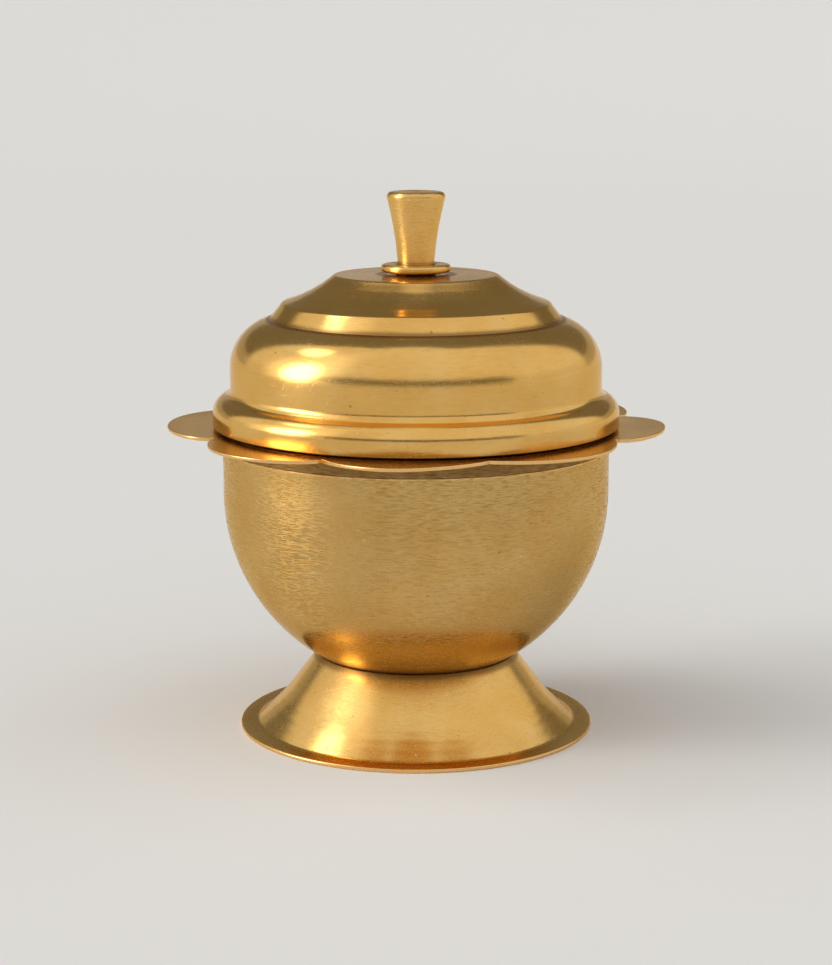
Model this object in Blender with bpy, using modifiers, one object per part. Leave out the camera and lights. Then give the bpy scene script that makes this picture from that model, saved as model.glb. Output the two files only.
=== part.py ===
"""Brass kumkum box: a footed bowl, a ring of petals round its mouth, and a stepped lid that lifts off.

Units are metres and +Z is up. The origin is the centre of the foot, on the surface the box stands on.
The front faces -Y. Every piece is turned about the Z axis, and the ring then has eight petals.
"""

import math

import bpy
import bmesh

# Gap between pieces that touch, and the play of the lid round the lip
SEAT_GAP = 0.0003
LID_SIDE_PLAY = 0.0006

# Fineness: facets round a turn, and how far a facet may leave the arc that it stands for
TURN_STEPS = 48
SMALL_TURN_STEPS = 24
ARC_TOLERANCE = 0.00003
LEAST_ARC_STEPS = 2
ROUNDING_LIMIT_SHARE = 0.98
MERGE_DISTANCE = 0.00001

# Foot, spun from sheet
FOOT_SHEET = 0.0005
FOOT_NECK_RADIUS = 0.0124
FOOT_TOE_RADIUS = 0.0200
FOOT_BRIM_WIDTH = 0.0022
FOOT_KNEE_OUT_SHARE = 0.62
FOOT_KNEE_DOWN_SHARE = 0.71
FOOT_KNEE_BEND = 0.020
FOOT_TOE_BEND = 0.0009

# Bowl, spun from sheet: a half sphere below a straight wall
BOWL_SHEET = 0.0006
BOWL_RADIUS = 0.0240
BOWL_STAND_HEIGHT = 0.0060
BOWL_STRAIGHT_HEIGHT = 0.00555
BOWL_ARC_STEPS = 14

# Petal ring: a spigot inside the bowl, a collar on its edge, the petals, and the lip inside the lid
SPIGOT_WALL = 0.0006
SPIGOT_DEPTH = 0.0025
COLLAR_HEIGHT = 0.00185
LIP_WALL = 0.0008
LIP_HEIGHT = 0.0020
LIP_EDGE_ROUND = 0.00025
PETAL_COUNT = 8
PETAL_THICKNESS = 0.0004
PETAL_NOTCH_WIDTH = 0.0028
PETAL_DEPTH = 0.0042
PETAL_ARC_STEPS = 12
PETAL_TURN_DEGREES = 3.0

# Solder, run into the corners where the bowl meets its foot and its ring
FOOT_SOLDER_LEG = 0.0012
RING_SOLDER_LEG = 0.0008
SOLDER_SAG_SHARE = 0.25

# Lid, spun from sheet, from its rim up to its crown; each rounding is that of the inside of its bend
LID_SHEET = 0.0006
LID_ABOVE_LIP = 0.0014
LID_BEAD_ROUND = 0.0020
LID_BEAD_STEP = 0.0022
LID_BEAD_RISE = 0.0008
LID_CREASE_ROUND = 0.00035
LID_TIER_HEIGHT = 0.0081
LID_TIER_ROUND = 0.0055
LID_LEDGE_WIDTH = 0.0049
LID_LEDGE_RISE = 0.0011
LID_GROOVE_ROUND = 0.00035
LID_SHOULDER_HEIGHT = 0.0020
LID_SHOULDER_WIDTH = 0.00155
LID_SHOULDER_ROUND = 0.0006
LID_FLANK_HEIGHT = 0.0034
LID_FLANK_IN_SHARE = 0.57
LID_FLANK_UP_SHARE = 0.33
LID_FLANK_BEND = 0.020
LID_CROWN_RADIUS = 0.0101
LID_CROWN_ROUND = 0.0003

# Knob, turned from bar
KNOB_DISC_RADIUS = 0.0043
KNOB_DISC_THICKNESS = 0.00095
KNOB_DISC_ROUND = 0.00042
KNOB_STEM_RADIUS = 0.00225
KNOB_STEM_HEIGHT = 0.00885
KNOB_STEM_ROUND = 0.0003
KNOB_WAIST_OUT_SHARE = 0.19
KNOB_WAIST_UP_SHARE = 0.42
KNOB_WAIST_BEND = 0.038
KNOB_TOP_RADIUS = 0.00375
KNOB_TOP_ROUND = 0.0004

# Tang of the knob, riveted over a washer inside the lid
TANG_RADIUS = 0.0012
WASHER_WIDTH = 0.0017
WASHER_THICKNESS = 0.0005
RIVET_OVERHANG = 0.0009
RIVET_HEIGHT = 0.0008
RIVET_ROUND = 0.0005

# Finishes of the metal: base colour, roughness, metallic
POLISHED_BRASS = ((0.80, 0.56, 0.22, 1.0), 0.22, 1.0)
SPUN_BRASS = ((0.72, 0.50, 0.20, 1.0), 0.32, 1.0)
TURNED_BRASS = ((0.84, 0.58, 0.20, 1.0), 0.25, 1.0)
CUT_BRASS = ((0.82, 0.54, 0.26, 1.0), 0.30, 1.0)
DULL_SOLDER = ((0.36, 0.28, 0.16, 1.0), 0.60, 0.8)

# Heights in the box, from the surface that it stands on
BOWL_CENTRE_Z = BOWL_STAND_HEIGHT + BOWL_RADIUS
BOWL_EDGE_Z = BOWL_CENTRE_Z + BOWL_STRAIGHT_HEIGHT
COLLAR_UNDER_Z = BOWL_EDGE_Z + SEAT_GAP
SPIGOT_UNDER_Z = COLLAR_UNDER_Z - SPIGOT_DEPTH
PETAL_TOP_Z = COLLAR_UNDER_Z + COLLAR_HEIGHT + PETAL_THICKNESS

# Radii that fit a neighbour
SPIGOT_RADIUS = BOWL_RADIUS - BOWL_SHEET - SEAT_GAP
LIP_INNER_RADIUS = BOWL_RADIUS - LIP_WALL
PETAL_NOTCH_RADIUS = BOWL_RADIUS + PETAL_NOTCH_WIDTH
PETAL_TIP_RADIUS = PETAL_NOTCH_RADIUS + PETAL_DEPTH
LID_RIM_RADIUS = BOWL_RADIUS + LID_SIDE_PLAY + LID_SHEET
TANG_HOLE_RADIUS = TANG_RADIUS + SEAT_GAP

# Heights in the lid, from its rim
LID_BEAD_Z = LIP_HEIGHT - SEAT_GAP + LID_ABOVE_LIP
LID_CREASE_Z = LID_BEAD_Z + LID_BEAD_RISE
LID_TIER_Z = LID_CREASE_Z + LID_TIER_HEIGHT
LID_GROOVE_Z = LID_TIER_Z + LID_LEDGE_RISE
LID_SHOULDER_Z = LID_GROOVE_Z + LID_SHOULDER_HEIGHT
LID_CROWN_Z = LID_SHOULDER_Z + LID_FLANK_HEIGHT


def clear_scene():
    """Remove every object, so that the scene holds only the box."""
    for item in list(bpy.data.objects):
        bpy.data.objects.remove(item, do_unlink=True)


def make_collection(name):
    """A collection in the scene."""
    collection = bpy.data.collections.new(name)
    bpy.context.scene.collection.children.link(collection)
    return collection


def make_material(name, finish):
    """A Principled metal of one colour."""
    colour, roughness, metallic = finish
    material = bpy.data.materials.new(name)
    material.use_nodes = True
    shader = material.node_tree.nodes["Principled BSDF"]
    shader.inputs["Base Color"].default_value = colour
    shader.inputs["Roughness"].default_value = roughness
    shader.inputs["Metallic"].default_value = metallic
    material.diffuse_color = colour
    return material


def unit_towards(start, end):
    """The unit vector from one point to another, and the distance between them."""
    length = math.hypot(end[0] - start[0], end[1] - start[1])
    return ((end[0] - start[0]) / length, (end[1] - start[1]) / length), length


def corner_half_angle(before, corner, after):
    """Half of the angle between the two sides that meet in a corner."""
    back, _ = unit_towards(corner, before)
    on, _ = unit_towards(corner, after)
    cosine = back[0] * on[0] + back[1] * on[1]
    return math.acos(max(-1.0, min(1.0, cosine))) / 2.0


def rounding_arc(before, corner, after, radius):
    """Points on the arc that rounds a corner."""
    back, _ = unit_towards(corner, before)
    on, _ = unit_towards(corner, after)
    half_angle = corner_half_angle(before, corner, after)
    cut = radius / math.tan(half_angle)
    start = (corner[0] + back[0] * cut, corner[1] + back[1] * cut)
    end = (corner[0] + on[0] * cut, corner[1] + on[1] * cut)
    bisector, _ = unit_towards((0.0, 0.0), (back[0] + on[0], back[1] + on[1]))
    reach = radius / math.sin(half_angle)
    centre = (corner[0] + bisector[0] * reach, corner[1] + bisector[1] * reach)
    first = math.atan2(start[1] - centre[1], start[0] - centre[0])
    last = math.atan2(end[1] - centre[1], end[0] - centre[0])
    turn = (last - first + math.pi) % math.tau - math.pi
    step_angle = 2.0 * math.acos(max(0.0, 1.0 - ARC_TOLERANCE / radius))
    steps = max(LEAST_ARC_STEPS, math.ceil(abs(turn) / step_angle))
    angles = [first + turn * step / steps for step in range(steps + 1)]
    return [(centre[0] + radius * math.cos(a), centre[1] + radius * math.sin(a)) for a in angles]


def fitted_roundings(corners, closed):
    """The roundings of the corners, each made smaller where two of them would meet on one side."""
    count = len(corners)
    halves = [0.0] * count
    cuts = [0.0] * count
    for index, (r, z, rounding) in enumerate(corners):
        if rounding == 0 or (not closed and index in (0, count - 1)):
            continue
        before = corners[index - 1]
        after = corners[(index + 1) % count]
        halves[index] = corner_half_angle(before[:2], (r, z), after[:2])
        cuts[index] = rounding / math.tan(halves[index])
    limits = list(cuts)
    for index in range(count if closed else count - 1):
        following = (index + 1) % count
        _, length = unit_towards(corners[index][:2], corners[following][:2])
        wanted = cuts[index] + cuts[following]
        if wanted > length * ROUNDING_LIMIT_SHARE:
            share = length * ROUNDING_LIMIT_SHARE / wanted
            limits[index] = min(limits[index], cuts[index] * share)
            limits[following] = min(limits[following], cuts[following] * share)
    return [limit * math.tan(half) for limit, half in zip(limits, halves)]


def rounded_profile(corners, closed=False):
    """Points (r, z) through corners given as (r, z, rounding); a rounding of zero keeps a corner sharp."""
    points = []
    for index, radius in enumerate(fitted_roundings(corners, closed)):
        corner = corners[index][:2]
        if radius == 0:
            points.append(corner)
            continue
        before = corners[index - 1][:2]
        after = corners[(index + 1) % len(corners)][:2]
        points.extend(rounding_arc(before, corner, after, radius))
    return points


def turned_object(name, points, closed, steps, finish, collection):
    """An object whose profile, in its XZ plane at +X, is turned a whole turn about its Z axis."""
    mesh = bpy.data.meshes.new(name)
    edges = [(index, index + 1) for index in range(len(points) - 1)]
    if closed:
        edges.append((len(points) - 1, 0))
    mesh.from_pydata([(r, 0.0, z) for r, z in points], edges, [])
    mesh.materials.append(make_material(name + "_metal", finish))
    item = bpy.data.objects.new(name, mesh)
    collection.objects.link(item)
    screw = item.modifiers.new("turn", "SCREW")
    screw.axis = "Z"
    screw.angle = math.tau
    screw.steps = steps
    screw.render_steps = steps
    screw.use_merge_vertices = True
    screw.merge_threshold = MERGE_DISTANCE
    screw.use_smooth_shade = True
    return item


def spun_shell(name, points, sheet, finish, collection):
    """A piece spun from sheet: its outer side, top to bottom, turned and thickened inwards."""
    item = turned_object(name, points, False, TURN_STEPS, finish, collection)
    shell = item.modifiers.new("sheet", "SOLIDIFY")
    shell.thickness = sheet
    shell.offset = -1.0
    shell.use_even_offset = True
    return item


def bowl_under_z(radius, gap):
    """Height, at a radius, of the surface that lies a gap below the bowl's round underside."""
    return BOWL_CENTRE_Z - math.sqrt((BOWL_RADIUS + gap) ** 2 - radius ** 2)


def foot_corners():
    """Corners of the foot's outer side, from its neck out to the edge of its brim."""
    neck_z = bowl_under_z(FOOT_NECK_RADIUS, SEAT_GAP)
    toe_z = FOOT_SHEET
    knee_radius = FOOT_NECK_RADIUS + (FOOT_TOE_RADIUS - FOOT_NECK_RADIUS) * FOOT_KNEE_OUT_SHARE
    knee_z = neck_z + (toe_z - neck_z) * FOOT_KNEE_DOWN_SHARE
    return [
        (FOOT_NECK_RADIUS, neck_z, 0.0),
        (knee_radius, knee_z, FOOT_KNEE_BEND),
        (FOOT_TOE_RADIUS, toe_z, FOOT_TOE_BEND),
        (FOOT_TOE_RADIUS + FOOT_BRIM_WIDTH, toe_z, 0.0),
    ]


def make_foot(collection):
    """The foot: a flared cone with a flat brim that the box stands on."""
    return spun_shell("foot", rounded_profile(foot_corners()), FOOT_SHEET, POLISHED_BRASS, collection)


def sagging_solder(corner, low, inner):
    """A solder fillet's closed profile, drawn in towards the corner that it fills."""
    middle = ((low[0] + inner[0]) / 2.0, (low[1] + inner[1]) / 2.0)
    sag_radius = middle[0] + (corner[0] - middle[0]) * SOLDER_SAG_SHARE
    sag_z = middle[1] + (corner[1] - middle[1]) * SOLDER_SAG_SHARE
    return [corner, low, (sag_radius, sag_z), inner]


def make_foot_solder(collection):
    """The solder inside the foot, between its neck and the underside of the bowl."""
    neck, knee = foot_corners()[:2]
    down, _ = unit_towards(neck[:2], knee[:2])
    inset = FOOT_SHEET + SEAT_GAP
    outer_radius = neck[0] + down[1] * inset
    outer_z = bowl_under_z(outer_radius, SEAT_GAP)
    foot_line_z = neck[1] - down[0] * inset
    low_z = min(outer_z, foot_line_z) - FOOT_SOLDER_LEG
    low_radius = outer_radius + (foot_line_z - low_z) * down[0] / -down[1]
    inner_radius = outer_radius - FOOT_SOLDER_LEG
    inner_z = bowl_under_z(inner_radius, SEAT_GAP)
    points = sagging_solder((outer_radius, outer_z), (low_radius, low_z), (inner_radius, inner_z))
    return turned_object("foot_solder_ring", points, True, TURN_STEPS, DULL_SOLDER, collection)


def make_bowl(collection):
    """The bowl, placed by its lowest point."""
    points = [(BOWL_RADIUS, BOWL_RADIUS + BOWL_STRAIGHT_HEIGHT)]
    for step in range(BOWL_ARC_STEPS):
        angle = math.pi / 2.0 * step / BOWL_ARC_STEPS
        points.append((BOWL_RADIUS * math.cos(angle), BOWL_RADIUS - BOWL_RADIUS * math.sin(angle)))
    points.append((0.0, 0.0))
    item = spun_shell("bowl", points, BOWL_SHEET, SPUN_BRASS, collection)
    item.location.z = BOWL_STAND_HEIGHT
    return item


def petal_outline():
    """Points (x, y) round the petals: equal arcs that meet in notches."""
    half_pitch = math.pi / PETAL_COUNT
    notch_along = PETAL_NOTCH_RADIUS * math.cos(half_pitch)
    notch_across = PETAL_NOTCH_RADIUS * math.sin(half_pitch)
    arc_centre = (PETAL_TIP_RADIUS ** 2 - PETAL_NOTCH_RADIUS ** 2) / (2.0 * (PETAL_TIP_RADIUS - notch_along))
    arc_radius = PETAL_TIP_RADIUS - arc_centre
    half_sweep = math.atan2(notch_across, notch_along - arc_centre)
    front = -math.pi / 2.0 - math.radians(PETAL_TURN_DEGREES)
    outline = []
    for petal in range(PETAL_COUNT):
        facing = front + 2.0 * half_pitch * petal
        for step in range(PETAL_ARC_STEPS):
            sweep = half_sweep * (2.0 * step / PETAL_ARC_STEPS - 1.0)
            along = arc_centre + arc_radius * math.cos(sweep)
            across = arc_radius * math.sin(sweep)
            x = along * math.cos(facing) - across * math.sin(facing)
            y = along * math.sin(facing) + across * math.cos(facing)
            outline.append((x, y))
    return outline


def circle_outline(radius, steps):
    """Points (x, y) round a circle."""
    angles = [math.tau * step / steps for step in range(steps)]
    return [(radius * math.cos(a), radius * math.sin(a)) for a in angles]


def add_outline(curve, outline):
    """Add one closed outline to a flat curve."""
    spline = curve.splines.new("POLY")
    spline.points.add(len(outline) - 1)
    for point, (x, y) in zip(spline.points, outline):
        point.co = (x, y, 0.0, 1.0)
    spline.use_cyclic_u = True


def mesh_from_curve(curve_item, name, collection):
    """A mesh object made from a curve, in its place and with its caps welded on. The curve is removed."""
    bpy.context.view_layer.update()
    depsgraph = bpy.context.evaluated_depsgraph_get()
    mesh = bpy.data.meshes.new_from_object(curve_item.evaluated_get(depsgraph))
    place = curve_item.matrix_world.copy()
    bpy.data.objects.remove(curve_item, do_unlink=True)
    work = bmesh.new()
    work.from_mesh(mesh)
    bmesh.ops.remove_doubles(work, verts=work.verts, dist=MERGE_DISTANCE)
    bmesh.ops.recalc_face_normals(work, faces=work.faces)
    work.to_mesh(mesh)
    work.free()
    item = bpy.data.objects.new(name, mesh)
    item.matrix_world = place
    collection.objects.link(item)
    return item


def make_petal_plate(cutters):
    """The flat plate of petals. The edge of its hole lies inside the wall of the lip."""
    curve = bpy.data.curves.new("petal_outline", "CURVE")
    curve.dimensions = "2D"
    curve.fill_mode = "BOTH"
    curve.extrude = PETAL_THICKNESS / 2.0
    add_outline(curve, petal_outline())
    add_outline(curve, circle_outline(BOWL_RADIUS - LIP_WALL / 2.0, TURN_STEPS))
    flat = bpy.data.objects.new("petal_outline", curve)
    flat.location.z = PETAL_TOP_Z - PETAL_THICKNESS / 2.0
    cutters.objects.link(flat)
    plate = mesh_from_curve(flat, "petal_plate", cutters)
    plate.hide_render = True
    plate.display_type = "WIRE"
    return plate


def make_petal_flange(collection, cutters):
    """The petal ring: its turned part, placed by the top of its petals and joined to the plate."""
    spigot_inner_radius = SPIGOT_RADIUS - SPIGOT_WALL
    collar_under = COLLAR_UNDER_Z - PETAL_TOP_Z
    spigot_under = SPIGOT_UNDER_Z - PETAL_TOP_Z
    slope_top = collar_under + LIP_INNER_RADIUS - spigot_inner_radius
    corners = [
        (BOWL_RADIUS, LIP_HEIGHT, LIP_EDGE_ROUND),
        (BOWL_RADIUS, collar_under, 0.0),
        (SPIGOT_RADIUS, collar_under, 0.0),
        (SPIGOT_RADIUS, spigot_under, 0.0),
        (spigot_inner_radius, spigot_under, 0.0),
        (spigot_inner_radius, collar_under, 0.0),
        (LIP_INNER_RADIUS, slope_top, 0.0),
        (LIP_INNER_RADIUS, LIP_HEIGHT, LIP_EDGE_ROUND),
    ]
    points = rounded_profile(corners, True)
    item = turned_object("petal_flange", points, True, TURN_STEPS, CUT_BRASS, collection)
    item.location.z = PETAL_TOP_Z
    union = item.modifiers.new("petals", "BOOLEAN")
    union.operation = "UNION"
    union.solver = "EXACT"
    union.object = make_petal_plate(cutters)
    return item


def make_flange_solder(collection):
    """The solder inside the bowl, in the corner under the spigot, placed by the spigot's lower end."""
    corner = (SPIGOT_RADIUS, -SEAT_GAP)
    low = (corner[0], corner[1] - RING_SOLDER_LEG)
    inner = (corner[0] - RING_SOLDER_LEG, corner[1])
    points = sagging_solder(corner, low, inner)
    item = turned_object("flange_solder_ring", points, True, TURN_STEPS, DULL_SOLDER, collection)
    item.location.z = SPIGOT_UNDER_Z
    return item


def make_lid_seat(collection):
    """The empty on the axis that the lid lifts along, at the height of the petals."""
    seat = bpy.data.objects.new("lid_seat", None)
    seat.empty_display_size = LID_RIM_RADIUS
    seat.location.z = PETAL_TOP_Z
    collection.objects.link(seat)
    return seat


def make_lid(collection, seat):
    """The lid: a flat crown, a sloping flank, a shoulder, a ledge, a round tier and a bead at its rim."""
    tier_radius = LID_RIM_RADIUS - LID_BEAD_STEP
    groove_radius = tier_radius - LID_LEDGE_WIDTH
    shoulder_radius = groove_radius - LID_SHOULDER_WIDTH
    flank_radius = shoulder_radius + (LID_CROWN_RADIUS - shoulder_radius) * LID_FLANK_IN_SHARE
    flank_z = LID_SHOULDER_Z + LID_FLANK_HEIGHT * LID_FLANK_UP_SHARE
    corners = [
        (TANG_HOLE_RADIUS, LID_CROWN_Z, 0.0),
        (LID_CROWN_RADIUS, LID_CROWN_Z, LID_CROWN_ROUND + LID_SHEET),
        (flank_radius, flank_z, LID_FLANK_BEND),
        (shoulder_radius, LID_SHOULDER_Z, LID_SHOULDER_ROUND + LID_SHEET),
        (groove_radius, LID_GROOVE_Z, LID_GROOVE_ROUND),
        (tier_radius, LID_TIER_Z, LID_TIER_ROUND + LID_SHEET),
        (tier_radius, LID_CREASE_Z, LID_CREASE_ROUND),
        (LID_RIM_RADIUS, LID_BEAD_Z, LID_BEAD_ROUND + LID_SHEET),
        (LID_RIM_RADIUS, 0.0, 0.0),
    ]
    item = spun_shell("lid_shell", rounded_profile(corners), LID_SHEET, POLISHED_BRASS, collection)
    item.parent = seat
    item.location.z = SEAT_GAP
    return item


def make_knob(collection, lid):
    """The knob, placed by the underside of its disc: flared stem above, tang and rivet head below."""
    stem_z = KNOB_DISC_THICKNESS
    top_z = stem_z + KNOB_STEM_HEIGHT
    waist_radius = KNOB_STEM_RADIUS + (KNOB_TOP_RADIUS - KNOB_STEM_RADIUS) * KNOB_WAIST_OUT_SHARE
    waist_z = stem_z + KNOB_STEM_HEIGHT * KNOB_WAIST_UP_SHARE
    rivet_z = -(SEAT_GAP + LID_SHEET + SEAT_GAP + WASHER_THICKNESS + SEAT_GAP)
    rivet_radius = TANG_RADIUS + RIVET_OVERHANG
    corners = [
        (0.0, top_z, 0.0),
        (KNOB_TOP_RADIUS, top_z, KNOB_TOP_ROUND),
        (waist_radius, waist_z, KNOB_WAIST_BEND),
        (KNOB_STEM_RADIUS, stem_z, KNOB_STEM_ROUND),
        (KNOB_DISC_RADIUS, stem_z, KNOB_DISC_ROUND),
        (KNOB_DISC_RADIUS, 0.0, KNOB_DISC_ROUND),
        (TANG_RADIUS, 0.0, 0.0),
        (TANG_RADIUS, rivet_z, 0.0),
        (rivet_radius, rivet_z, 0.0),
        (rivet_radius, rivet_z - RIVET_HEIGHT, RIVET_ROUND),
        (0.0, rivet_z - RIVET_HEIGHT, 0.0),
    ]
    points = rounded_profile(corners)
    item = turned_object("knob", points, False, SMALL_TURN_STEPS, TURNED_BRASS, collection)
    item.parent = lid
    item.location.z = LID_CROWN_Z + SEAT_GAP
    return item


def make_washer(collection, lid):
    """The washer inside the crown, placed by its upper face."""
    rim_radius = TANG_HOLE_RADIUS + WASHER_WIDTH
    points = [
        (TANG_HOLE_RADIUS, 0.0),
        (rim_radius, 0.0),
        (rim_radius, -WASHER_THICKNESS),
        (TANG_HOLE_RADIUS, -WASHER_THICKNESS),
    ]
    item = turned_object("knob_washer", points, True, SMALL_TURN_STEPS, CUT_BRASS, collection)
    item.parent = lid
    item.location.z = LID_CROWN_Z - LID_SHEET - SEAT_GAP
    return item


def build():
    """Make the whole box."""
    clear_scene()
    box = make_collection("kumkum_box")
    cutters = make_collection("cutters")
    make_foot(box)
    make_foot_solder(box)
    make_bowl(box)
    make_petal_flange(box, cutters)
    make_flange_solder(box)
    lid = make_lid(box, make_lid_seat(box))
    make_knob(box, lid)
    make_washer(box, lid)


build()
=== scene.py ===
"""Kumkum box: finer pieces, brass finishes and a plain studio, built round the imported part.

Every piece stands in the part's own frame: metres, +Z up, the front facing -Y.
"""

import math

import bmesh
import bpy
from bpy.props import FloatProperty, FloatVectorProperty, PointerProperty
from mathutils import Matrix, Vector, noise


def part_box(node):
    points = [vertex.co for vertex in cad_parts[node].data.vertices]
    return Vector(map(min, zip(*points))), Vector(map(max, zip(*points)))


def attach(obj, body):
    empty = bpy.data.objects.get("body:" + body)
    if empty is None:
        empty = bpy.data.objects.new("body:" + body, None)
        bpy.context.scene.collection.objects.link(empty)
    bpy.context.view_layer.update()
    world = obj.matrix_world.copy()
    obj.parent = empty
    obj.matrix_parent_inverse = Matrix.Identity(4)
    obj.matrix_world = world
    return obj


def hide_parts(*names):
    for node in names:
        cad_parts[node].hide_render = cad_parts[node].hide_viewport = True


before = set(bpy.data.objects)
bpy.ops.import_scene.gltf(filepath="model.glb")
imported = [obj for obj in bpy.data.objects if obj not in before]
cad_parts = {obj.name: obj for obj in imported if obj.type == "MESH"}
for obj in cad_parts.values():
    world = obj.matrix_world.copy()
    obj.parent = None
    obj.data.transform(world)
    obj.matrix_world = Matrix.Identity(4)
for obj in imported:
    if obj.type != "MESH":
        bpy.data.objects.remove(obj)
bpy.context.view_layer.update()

bl_info = {
    "name": "Kumkum box",
    "version": (1, 0, 0),
    "blender": (4, 5, 0),
    "location": "3D View > Sidebar > Kumkum box",
    "description": "Finer pieces, brass finishes and a plain studio for the packed kumkum box",
    "category": "Object",
}

FOOT_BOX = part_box("foot")
BOWL_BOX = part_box("bowl")
FLANGE_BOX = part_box("petal_flange")
LID_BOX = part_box("lid_shell")
KNOB_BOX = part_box("knob")
WASHER_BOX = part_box("knob_washer")

# Fineness of the meshes: steps round the axis or along a curve, and the longest side of a profile
TURN_STEPS = 224
SMALL_TURN_STEPS = 112
PETAL_STEPS = 56
BOWL_STEPS = 72
FLOOR_STEPS = 96
BOWL_SPACING = 0.0005
LID_SPACING = 0.00045
SHEET_SPACING = 0.0004
SMALL_SPACING = 0.00025
ARC_ANGLE = math.radians(6.0)
AXIS_REACH = 0.000001

# Gaps between pieces that touch, so that no two surfaces share a place
FOOT_GAP = 0.00002
SOLDER_GAP = 0.00001
COLLAR_GAP = 0.00004
SPIGOT_GAP = 0.0003
DISC_GAP = 0.00004
RIVET_GAP = 0.00002
HOLE_GAP = 0.0002


# Sizes and colours

def length(name, description, default):
    """A size in metres."""
    return FloatProperty(
        name=name, description=description, default=default,
        min=0.0, precision=5, subtype="DISTANCE", unit="LENGTH",
    )


def colour(name, description, default):
    """A colour of metal or stage."""
    return FloatVectorProperty(
        name=name, description=description, default=default,
        size=3, min=0.0, max=1.0, subtype="COLOR",
    )


def share(name, description, default, highest=1.0):
    """A plain number from zero up."""
    return FloatProperty(
        name=name, description=description, default=default,
        min=0.0, max=highest, precision=3,
    )


class FootSizes(bpy.types.PropertyGroup):
    """Sizes of the foot."""

    sheet: length("Sheet", "Thickness of the sheet", 0.0005)
    neck_radius: length("Neck radius", "Outside radius where the foot meets the bowl", 0.0124)
    toe_radius: length("Toe radius", "Radius of the bend between the cone and the brim", 0.0200)
    brim_radius: length("Brim radius", "Outside radius of the brim", FOOT_BOX[1].x)
    knee_out: share("Knee out", "Place of the flare's bend between neck and toe, outwards", 0.62)
    knee_down: share("Knee down", "Place of the flare's bend between neck and toe, downwards", 0.71)
    edge_round: length("Edge rounding", "Rounding of the cut edges", 0.00018)


class BowlSizes(bpy.types.PropertyGroup):
    """Sizes of the bowl."""

    sheet: length("Sheet", "Thickness of the sheet", 0.0006)
    radius: length("Radius", "Outside radius of the bowl", BOWL_BOX[1].x)
    bottom_height: length("Bottom height", "Height of the bowl's lowest point", BOWL_BOX[0].z)
    edge_height: length("Edge height", "Height of the bowl's cut edge", BOWL_BOX[1].z + 0.00024)
    buffed_drop: length("Buffed below", "How far under its centre the bowl turns smoother", 0.0145)


class PetalSizes(bpy.types.PropertyGroup):
    """Sizes of the ring of petals and of the lip inside the lid."""

    thickness: length("Thickness", "Thickness of a petal", 0.00042)
    root_height: length("Root height", "Height of the upper side of the petals at their root", 0.03806)
    tip_rise: length("Tip rise", "How far the tips stand above the root", 0.00024)
    notch_radius: length("Notch radius", "Distance of the notches from the axis", 0.0262)
    lip_height: length("Lip top", "Height of the lip's upper edge", FLANGE_BOX[1].z)
    lip_wall: length("Lip wall", "Thickness of the lip", 0.0008)
    spigot_low: length("Spigot foot", "Height of the spigot's lower edge", FLANGE_BOX[0].z)
    spigot_wall: length("Spigot wall", "Thickness of the spigot", 0.0006)


class LidSizes(bpy.types.PropertyGroup):
    """Sizes of the lid, as radii and heights of the corners of its outer side."""

    sheet: length("Sheet", "Thickness of the sheet", 0.0006)
    crown_radius: length("Crown radius", "Radius of the flat crown", 0.0101)
    crown_height: length("Crown height", "Height of the flat crown", LID_BOX[1].z)
    shoulder_radius: length("Shoulder radius", "Radius of the shoulder's upper corner", 0.01655)
    shoulder_height: length("Shoulder height", "Height of the shoulder's upper corner", 0.0535)
    groove_radius: length("Groove radius", "Radius of the groove under the shoulder", 0.0181)
    groove_height: length("Groove height", "Height of the groove under the shoulder", 0.0515)
    tier_radius: length("Tier radius", "Radius of the upright wall", 0.0230)
    tier_height: length("Tier height", "Height of the tier's upper corner", 0.0504)
    crease_height: length("Crease height", "Height of the crease above the bead", 0.0423)
    bead_height: length("Bead height", "Height of the bead's upper corner", 0.0415)
    rim_radius: length("Rim radius", "Outside radius of the rim", LID_BOX[1].x)
    rim_height: length("Rim height", "Height of the rim's lower edge", LID_BOX[0].z)


class KnobSizes(bpy.types.PropertyGroup):
    """Sizes of the knob, its tang and its washer."""

    disc_radius: length("Disc radius", "Radius of the disc under the stem", 0.0043)
    disc_thickness: length("Disc thickness", "Thickness of the disc", 0.00095)
    stem_radius: length("Stem radius", "Radius of the stem on the disc", 0.00225)
    waist_radius: length("Waist radius", "Radius at the bend of the stem's flare", 0.00254)
    top_radius: length("Top radius", "Radius of the flat top", 0.00375)
    top_height: length("Top height", "Height of the flat top", KNOB_BOX[1].z)
    tang_radius: length("Tang radius", "Radius of the riveted tang", 0.0012)
    rivet_radius: length("Rivet radius", "Radius of the rivet head", 0.0021)


class BrassColours(bpy.types.PropertyGroup):
    """Colours of the metal."""

    polished: colour("Polished brass", "Lid, knob and foot", (0.83, 0.515, 0.165))
    satin: colour("Satin brass", "Bowl", (0.66, 0.43, 0.155))
    # The cut colour also paints a highlight along the bowl's edge
    cut: colour("Cut brass", "Filed edges of the petals", (0.90, 0.56, 0.24))
    # The tarnish colour and its strength also paint shade under the petals, on the collar
    tarnish: colour("Tarnish", "Brown film in creases", (0.20, 0.105, 0.035))
    solder: colour("Solder", "Dull solder in the corners", (0.42, 0.34, 0.20))
    dust: colour("Dust", "Specks on the metal", (0.84, 0.80, 0.70))
    tarnish_amount: share("Tarnish", "Strength of the film in creases", 0.75)
    line_depth: share("Line depth", "Depth of the spinning lines, in hundredths of a millimetre", 0.30)


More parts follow.
